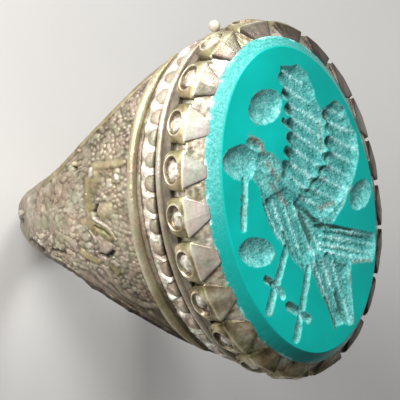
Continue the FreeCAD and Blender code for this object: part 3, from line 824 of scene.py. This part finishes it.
def tooth_skin(pick, x, y, nx, ny):
    """Front and back of the tooth at a place, how pale its front is with painted light and shade, and how
    olive.
    """
    a = np.linspace(-1, 1, TOOTH_COLUMNS)[None, :]
    a = np.sign(a) * (1 - (1 - np.abs(a)) ** 1.2)
    b = np.linspace(0, 1, TOOTH_ROWS)[:, None]
    knots, outs, heights, halves = zip(*TOOTH_PROFILE)

    def placed(out, height, across):
        return np.stack([x + out * nx - across * ny, y + out * ny + across * nx, height], -1)

    half = np.interp(b, knots, halves) * (1 + 0.05 * pick.uniform(-1, 1))
    blade = ease(0.56, 0.6, b)
    lobe = 1 - blade
    # Blade paleness: random per tooth and lifted as a painted highlight, with painted shade at the low end,
    # on the far side and towards the upper end
    low_end, far_side = ease(3, -9, y), ease(0, 6, x)
    tone_and_painted_shading = pick.choice(BLADE_TONES_AND_HIGHLIGHT) - 0.44 * low_end - 0.46 * far_side - 0.4 * ease(6.5, 11, y)
    across = a * half * (1 + 0.14 * pick.uniform(-1, 1) * blade)
    across = across + 0.16 * pick.uniform(-1, 1) * ease(0.6, 1, b)
    out = np.interp(b, knots, outs) - 0.26 * np.abs(a) ** 3 * lobe - 0.05 * np.abs(a) ** 6 * blade
    height = np.interp(b, knots, heights) + 0 * a
    # The blade rises to a blunt crest a little to one side, with a bevel towards each edge
    crest = 0.1 * (1 - np.abs(a - 0.25 * pick.uniform(-1, 1))) * blade * ease(1, 0.8, b)
    out, height = out + 0.6 * crest, height + 0.8 * crest
    eye_high, eye_wide = EYE_HALVES[1] * pick.uniform(0.93, 1.05), EYE_HALVES[0] * pick.uniform(0.92, 1.06)
    side = across / eye_wide + 0.06 * pick.uniform(-1, 1)
    level = (height - EYE_HEIGHT) / eye_high
    gap = np.hypot(side, level)
    crater = ease(1, 0.8, gap) * lobe
    ring = bell(gap, 1.07, 0.085) * lobe * (0.35 + 0.65 * ease(0.35, -0.6, level))
    groove = bell(gap, 1.22, 0.06) * lobe * ease(0.1, -0.5, level)
    pellets = eye_pellets(pick, side, level)
    out = out - 0.4 * crater + 0.07 * ring - 0.04 * groove + 0.32 * pellets * crater
    front = placed(out, height, across)
    wear, glass = noise_at(front, 0.8, 3), noise_at(front + 3, 0.22, 2)
    out = out + (0.022 * lobe + 0.006 + 0.03 * low_end) * wear + 0.03 * glass * crater
    front = placed(out, height, across)
    back_out = np.interp(b, BACK_SHARES, BACK_PLACES) + 0 * a
    back = placed(back_out, np.interp(b, (0, 1), BACK_HEIGHTS) + 0 * a, across)

    # Painted shade on the eye's upper inner wall; below, a painted highlight on the ring's lower side,
    # painted shade in the groove under it, a painted highlight along the ridge between lobe and blade, and
    # painted shade at the tooth's side edges and foot
    wall = ease(0.6, 0.95, gap) * ease(1.02, 0.95, gap) * lobe
    wall = wall * (0.35 + 0.65 * ease(-0.3, 0.7, level + 0.4 * side))
    tone = 0.56 * lobe + tone_and_painted_shading * blade + (0.12 * lobe + 0.06 + 0.16 * low_end) * wear
    tone = blend(tone, 0.46 + 0.4 * pellets + 0.22 * glass, crater) + 0.3 * ring - 0.2 * groove - 0.4 * wall
    tone = tone + 0.24 * bell(b, 0.585, 0.022) - 0.2 * np.abs(a) ** 8 - 0.12 * ease(0.16, 0, b)
    olive = blend(0.95 * lobe * (1 - 0.7 * ring), 0.15, crater)
    olive = olive + blade * (0.55 * ease(0.85, 0.6, b) * pick.uniform(0.2, 1) + 0.75 * low_end)
    return front, back, tone, olive


def teeth_piece(material):
    """All the teeth: a lobe with a sunken eye, its ring and pellets, and a blade over the stone."""
    places = zip(*oval_frame(*CUP_RIM_HALVES, even_angles(*CUP_RIM_HALVES, TOOTH_COUNT)))
    points_all, quads_all, relief_all, olive_all = [], [], [], []
    for tooth, place in enumerate(places):
        pick = np.random.default_rng(SEED * 100 + tooth)
        front, back, tone, olive = tooth_skin(pick, *place)
        quads_all.append(slab_quads(2 * tone.size * tooth))
        points_all += [front.reshape(-1, 3), back.reshape(-1, 3)]
        relief_all += [tone.ravel(), np.full(tone.size, 0.15)]
        olive_all += [olive.ravel(), np.zeros(olive.size)]
    points = turn_points(np.concatenate(points_all))
    attributes = shades(np.concatenate(relief_all), np.concatenate(olive_all))
    piece = raw_mesh("crown_of_teeth", points, np.concatenate(quads_all), material, attributes)
    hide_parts("crown_teeth", "tooth_annulets", "tooth_pellets")


# Stone and its engraving, with the bird's places in pixels of the photograph

# Round hollows: centre, half axes, turn in degrees and depth in millimetres
ROUND_HOLLOWS = (
    ((265, 107.5), 19.5, 15.5, -55, 0.45),
    ((256.5, 252), 17.5, 15, 15, 0.45),
    ((362, 194.5), 16.5, 10.5, -68, 0.4),
    ((243, 163), 19.5, 18, 0, 0.55),
    ((262, 166), 15, 11, 60, 0.45),
    ((254, 146), 9, 7, 40, 0.4),
)
# Cut strokes: ends and half width
CUT_STROKES = (
    ((245, 176), (243.3, 228), 3.6),
    ((262, 172), (290, 204), 13),
    ((286, 247), (277, 282), 3.7),
    ((277, 282), (269.5, 311), 4),
    ((266.5, 279), (276, 286), 3.5),
    ((276, 286), (283, 296), 3.6),
    ((308.5, 268), (302.5, 304), 3.9),
    ((302.5, 304), (297, 339), 4),
    ((289, 306), (299, 312), 4.2),
    ((299, 312), (308, 319), 3.8),
    ((283, 121), (291, 127), 2.2),
)
# Broad hollows, each with the ridges that its feather strokes leave standing and its depth
FEATHERED_HOLLOWS = (
    (((281, 67), (298, 65), (307, 73), (314, 88), (316, 99), (325, 115), (328, 130), (328, 153), (322, 173),
      (312, 190), (303, 196), (290, 182), (286, 168), (290, 152), (291, 138), (293, 127), (289, 115),
      (287, 101), (283, 89)),
     (((284, 72), (304, 84)), ((286, 88), (312, 104)), ((289, 103), (322, 122)), ((292, 118), (324, 138)),
      ((293, 132), (325, 153)), ((291, 147), (322, 168)), ((287, 160), (317, 180)), ((287, 174), (307, 189))),
     0.5),
    (((322, 108), (336, 100), (346, 108), (352, 123), (358, 132), (361, 153), (358, 168), (352, 187),
      (343, 203), (333, 214), (327, 219), (314, 220), (298, 210), (296, 194), (312, 186), (324, 170),
      (331, 150), (329, 128)),
     (((326, 108), (346, 116)), ((331, 122), (354, 132)), ((331, 136), (359, 150)), ((330, 151), (359, 164)),
      ((325, 164), (355, 178)), ((318, 176), (349, 190)), ((309, 187), (342, 202)), ((303, 198), (332, 212))),
     0.5),
    (((263, 203), (270, 192), (285, 182), (300, 198), (314, 214), (328, 224), (329, 255), (313, 262),
      (305, 273), (292, 260), (285, 248), (275, 237), (268, 223)),
     (((266, 208), (284, 244)), ((274, 202), (294, 252)), ((283, 198), (303, 256)), ((294, 203), (314, 254)),
      ((305, 212), (322, 250))),
     0.55),
    (((322, 222), (347, 228), (376, 233), (379, 243), (375, 263), (356, 262), (350, 267), (330, 258),
      (318, 250)),
     (((326, 228), (376, 237)), ((322, 236), (378, 245)), ((320, 244), (376, 253)), ((322, 251), (372, 260))),
     0.42),
    (((312, 258), (328, 254), (350, 264), (355, 308), (356, 325), (350, 327), (345, 324), (336, 328),
      (328, 308), (320, 292), (313, 276)),
     (((315, 262), (338, 326)), ((324, 260), (346, 322)), ((334, 262), (353, 322))),
     0.42),
)
# The bird's body as a whole, ground a little below the face
BODY_GROUND = ((252, 158), (270, 152), (284, 164), (294, 172), (310, 184), (322, 170), (334, 176),
               (352, 184), (344, 206), (332, 224), (352, 230), (374, 236), (376, 260), (352, 264),
               (352, 300), (340, 322), (322, 290), (306, 268), (290, 256), (274, 236), (264, 212))
# Painted shade in the cut: stroke ends and half width
PAINTED_SHADE_STROKES = (
    ((281, 68), (282, 74), 2), ((286, 92), (290, 96), 2),
    ((289, 104), (292, 112), 2.6), ((291, 124), (294, 131), 2.6),
    ((291, 139), (293, 146), 2.4), ((289.5, 152), (291, 160), 2.4),
    ((327, 118), (330, 124), 2.4), ((329, 138), (331, 147), 2.6),
    ((330, 155), (321, 176), 1.8), ((321, 176), (309, 191), 2),
    ((286, 170), (284, 176), 2.4), ((296, 204), (318, 222), 1.8),
    ((303, 216), (313, 238), 4), ((318, 226), (352, 229), 1.8),
    ((263, 205), (267, 215), 1.8), ((286, 233), (295, 255), 1.6),
    ((327, 300), (337, 326), 2), ((339, 296), (346, 320), 2.4),
    ((240.5, 182), (239.5, 222), 1.3), ((273, 284), (268, 308), 1.3),
)
# Brown soil: stroke ends and half width
SOIL_STROKES = (
    ((251, 138.5), (260, 145), 3.4), ((258, 144), (263, 153), 2.6),
    ((325, 112), (328, 116), 3.2), ((321, 122), (323, 150), 1.8),
    ((268, 163), (278, 180), 3.4), ((272, 184), (288, 204), 3.4),
    ((268, 279.5), (271, 281), 2.6), ((289.5, 304), (293, 307), 2.4),
    ((322, 285), (336, 327), 1.6), ((354, 262), (371, 261), 2.2),
    ((256, 96), (262, 93), 2.2), ((322, 208), (334, 203), 3.2),
    ((241.5, 196), (243, 214), 1.8), ((282, 120), (289, 127), 1.6),
    ((300, 196), (304, 199), 2.2),
)


# Millimetres on the face to a pixel of half width, since the photograph sees the face at a slant
FACE_PIXEL = 1 / PIXELS_PER_MM / 0.85
# How far in from its edge a hollow, the body's ground and a broad hollow reach their depth
PIT_REACH = 1.2
GROUND_REACH = 0.5
BROAD_REACH = 1
STROKE_DEPTH = 0.32
GROUND_DEPTH = 0.14


def oval_pixels(centre, long_half, short_half, degrees):
    """Outline of an oval of the photograph, in pixels."""
    cos, sin = math.cos(math.radians(degrees)), math.sin(math.radians(degrees))
    outline = []
    for step in np.linspace(0, 2 * math.pi, 28, endpoint=False):
        u, v = long_half * math.cos(step), short_half * math.sin(step)
        outline.append((centre[0] + u * cos - v * sin, centre[1] + u * sin + v * cos))
    return outline


def engraving(x, y):
    """Depth of the cut, how frosted it is, how pale its strokes are and how much soil it holds; the dark
    strokes add painted shade to the last two.
    """
    scatter = np.stack([x, y, 0 * x], -1)
    ragged = 0.05 * noise_at(scatter, 0.5, 3)
    fine = noise_at(scatter + 9, 0.16, 2)
    depth = np.zeros_like(x)
    edges = np.full_like(x, -9)

    def inside_of(pixels):
        return inside_depth(x, y, [on_face(pixel) for pixel in pixels])

    def stroke_gap(start, end):
        return segment_gap(x, y, on_face(start), on_face(end))

    def hollow(inside, deepest, reach):
        nonlocal depth, edges
        inside = inside + ragged
        share = np.clip(inside / reach, 0, 1)
        depth = np.maximum(depth, 0.75 * deepest * share * (2 - share))
        edges = np.maximum(edges, inside)

    for *oval, deepest in ROUND_HOLLOWS:
        hollow(inside_of(oval_pixels(*oval)), deepest, PIT_REACH)
    for start, end, wide in CUT_STROKES:
        reach = wide * FACE_PIXEL
        hollow(reach - stroke_gap(start, end)[0], STROKE_DEPTH, reach)
    hollow(inside_of(BODY_GROUND), GROUND_DEPTH, GROUND_REACH)
    pale = 0.45 + 0 * x
    for outline, feathers, deepest in FEATHERED_HOLLOWS:
        inside = inside_of(outline)
        hollow(inside, 0.9 * deepest, BROAD_REACH)
        for (start, end), (next_start, next_end) in zip(feathers, feathers[1:]):
            near = np.array([on_face(start), on_face(next_start)])
            far = np.array([on_face(end), on_face(next_end)])
            reach = 0.4 * float(np.linalg.norm(near[0] - near[1]))
            run = far.mean(0) - near.mean(0)
            groove = segment_gap(x, y, near.mean(0) - 0.08 * run, far.mean(0) - 0.2 * run)[0]
            hollow(reach - groove, 0.85 * deepest, reach)
        body = ease(0, 0.25, inside)
        pale = pale - 0.1 * body
        for start, end in feathers:
            gap, reached = stroke_gap(start, end)
            ridge = bell(gap + 0.08 * fine, 0, 0.17) * body * (1 - 0.45 * reached)
            depth = depth - 0.06 * ridge
            pale = pale + 0.5 * ridge
    dark, soil_and_painted_shade = (np.maximum.reduce([bell(stroke_gap(start, end)[0] + 1.2 * ragged, 0, wide * FACE_PIXEL)
                                     for start, end, wide in strokes])
                  for strokes in (PAINTED_SHADE_STROKES, SOIL_STROKES))
    cut = ease(-0.07, 0.11, edges + 0.05 * fine)
    # The painted-shade strokes deepen the cut and darken its frost and soil
    depth = np.maximum(depth, 0) + cut * (0.018 * fine + 0.12 * dark)
    hatching = noise_at(scatter * np.array([1, 0.2, 1]), 0.13, 2)
    pale = pale - 0.5 * dark + 0.14 * noise_at(scatter + 4, 0.6, 2) + 0.12 * hatching
    rim_soil = bell(edges, 0.03, 0.09) * ease(-0.1, 0.8, noise_at(scatter + 4, 1.2, 3))
    soil_and_painted_shade = 0.6 * soil_and_painted_shade * ease(-0.3, 0.7, fine + soil_and_painted_shade) + 0.55 * rim_soil + 0.25 * dark * cut
    cut = np.maximum(cut, 0.7 * np.minimum(1, 1.4 * soil_and_painted_shade))
    return depth, cut, pale, np.clip(soil_and_painted_shade, 0, 0.95)


STONE_STEPS = 900
FACE_RINGS = 196
BEVEL_STEPS = 14
GIRDLE_THICKNESS = 0.25
SEAT_GAP = 0.02
# Bearing round the stone of the bevel's frosted patch, which is also a painted sheen
FROST_AND_SHEEN_BEARING = math.radians(118)


def stone_piece(material):
    """The stone: polished, bevelled at its edge, with the bird sunk into its face."""
    turns = np.linspace(0, 2 * math.pi, STONE_STEPS, endpoint=False)[:, None]

    def ring_at(half_long, half_wide, height):
        return np.stack([half_wide * np.cos(turns), half_long * np.sin(turns), height + 0 * turns], -1)

    share = np.linspace(0, 1, FACE_RINGS)[None, :] ** 0.8
    x, y = share * FACE_HALVES[1] * np.cos(turns), share * FACE_HALVES[0] * np.sin(turns)
    depth, cut, pale, soil_and_painted_shade = engraving(x, y)
    points = [np.stack([x, y, FACE_HEIGHT + FACE_DOME * (1 - share ** 2) - depth], -1)]
    # The face's last value is painted shade, growing towards its +x side
    values = [(cut, pale, soil_and_painted_shade, 0.42 * ease(-1, 7, x))]
    for step in range(1, BEVEL_STEPS + 1):
        t = step / BEVEL_STEPS
        ring = ring_at(*(top + (foot - top) * t for top, foot in
                         zip((*FACE_HALVES, FACE_HEIGHT), (*GIRDLE_HALVES, GIRDLE_HEIGHT))))
        chips = noise_at(ring, 0.5, 3)
        chipped = ease(0.5, 1, t) * ease(0, 0.6, chips)
        crumbled = ease(0.78, 0.95, t) * ease(-0.2, 0.35, chips)
        # Frost on the bevel towards one bearing, paled as a painted sheen
        frost_and_sheen = ease(0.35, 0.8, np.cos(turns - FROST_AND_SHEEN_BEARING)) * ease(0, 0.2, t)
        ring[..., 2] -= 0.03 * t * np.abs(chips)
        points.append(ring)
        # The bevel's last value is painted shade, lighter where the sheen lies
        values.append((np.clip(0.1 * t + 0.3 * chipped + 0.8 * crumbled + 0.75 * frost_and_sheen, 0, 1),
                       0.2 + 0.16 * chipped + 0.35 * crumbled + 0.12 * frost_and_sheen,
                       0.6 * ease(0.85, 1, t) * ease(0.2, 0.7, -chips),
                       0.62 * ease(0.02, 0.12, t) * (1 - 0.3 * frost_and_sheen) + 0 * turns))
    seat = CUP_RIM + SEAT_GAP
    for place in ((*GIRDLE_HALVES, GIRDLE_HEIGHT - GIRDLE_THICKNESS), (*STONE_BASE_HALVES, seat),
                  (0.01, 0.01, seat)):
        points.append(ring_at(*place))
        values.append(tuple(value + 0 * turns for value in (0.4, 0.4, 0.3, 0)))
    names = ("cut", "feather", "soil_and_shade", "tone_and_painted_shading")
    attributes = {name: np.concatenate(columns, 1) for name, columns in zip(names, zip(*values))}
    points = turn_points(np.concatenate(points, 1))
    piece = grid_mesh("engraved_stone", points, False, material, attributes)
    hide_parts("intaglio_stone")


# Floor, light and camera

def stage_and_light():
    """Plain pale floor, a near lamp at the upper left, a softer one above, and a faint sky."""
    height = CAD_BOX[0].z - FLOOR_GAP
    corners = [(x * FLOOR_REACH, y * FLOOR_REACH, height) for x, y in ((-1, -1), (1, -1), (1, 1), (-1, 1))]
    mesh = bpy.data.meshes.new("floor")
    mesh.from_pydata(corners, [], [(0, 1, 2, 3)])
    mesh.materials.append(plain_material("pale_floor", *FLOOR_COLOURS, 40, 0.7))
    add_object("floor", mesh)
    world = bpy.data.worlds.new("studio")
    world.use_nodes = True
    set_inputs(world.node_tree.nodes["Background"], {"Color": SKY_COLOUR, "Strength": SKY_STRENGTH})
    bpy.context.scene.world = world
    bpy.context.scene.view_settings.view_transform = "Standard"
    for name, way, distance, size, power, colour in LAMPS:
        light = bpy.data.lights.new(name, "AREA")
        light.energy = power
        light.size = size
        light.color = colour
        lamp = add_object(name, light)
        lamp.location = LAMP_TARGET + way.normalized() * distance
        lamp.rotation_euler = (-way).to_track_quat("-Z", "Y").to_euler()


def add_camera():
    """Long lens along the photograph's view."""
    centre_pixel = PICTURE_SIZE / 2
    target = Vector((0, 0, GIRDLE_HEIGHT)) * MM
    target += VIEW_RIGHT * ((centre_pixel - GIRDLE_PIXEL[0]) / PIXELS_PER_MM * MM)
    target -= VIEW_UP * ((centre_pixel - GIRDLE_PIXEL[1]) / PIXELS_PER_MM * MM)
    data = bpy.data.cameras.new("camera")
    data.sensor_width = SENSOR_WIDTH
    data.lens = SENSOR_WIDTH * CAMERA_DISTANCE / (PICTURE_SIZE / PIXELS_PER_MM * MM)
    data.clip_start = 0.01
    camera = add_object("camera", data)
    turn = Matrix((VIEW_RIGHT, VIEW_UP, VIEW_BACK)).transposed().to_4x4()
    camera.matrix_world = Matrix.Translation(target + VIEW_BACK * CAMERA_DISTANCE) @ turn
    bpy.context.scene.camera = camera


# The ring put together

old_silver = metal("old_silver", 0.46, 0.22, 0.5, 0.4)
worn_silver = metal("worn_silver", 0.34, 0.3, 0.6, 0.3)
brassy_silver = metal("brassy_silver", 0.34, 0.25, 0.6)
band_silver = metal("band_silver", 0.5, 0.4, 0.45, 0.6)
# Silver darkened as painted shade, for the bezel cup and the bearer strip
recessed_silver = plain_material("recessed_silver", (0.035, 0.028, 0.018), (0.2, 0.17, 0.12), 900, 0.55)
cement = plain_material("setting_cement", (0.2, 0.15, 0.1), (0.36, 0.29, 0.2), 900, 0.8)
plain_silver = plain_material("plain_silver", (0.3, 0.25, 0.18), (0.62, 0.56, 0.45), 900, 0.4)

hoop_piece(old_silver)
wire_piece("lower_wire", "lower_border_wire", LOWER_WIRE, brassy_silver,
           (LOWER_WIRE_ENDS, tuple(end + math.pi for end in LOWER_WIRE_ENDS)), 0.75)
wire_piece("upper_wire", "upper_border_wire", UPPER_WIRE, brassy_silver, ((0, 2 * math.pi),), 0.3)
scallop_piece(band_silver)
collar_piece(worn_silver)
teeth_piece(worn_silver)
stone_piece(stone_material())
for node, material in (("base_plate", plain_silver), ("bezel_cup", recessed_silver),
                       ("bearer_strip", recessed_silver), ("cement_bed", cement),
                       ("end_granules", plain_silver)):
    solid = bpy.data.objects.get(node)
    solid.data.materials.clear()
    solid.data.materials.append(material)
stage_and_light()
add_camera()
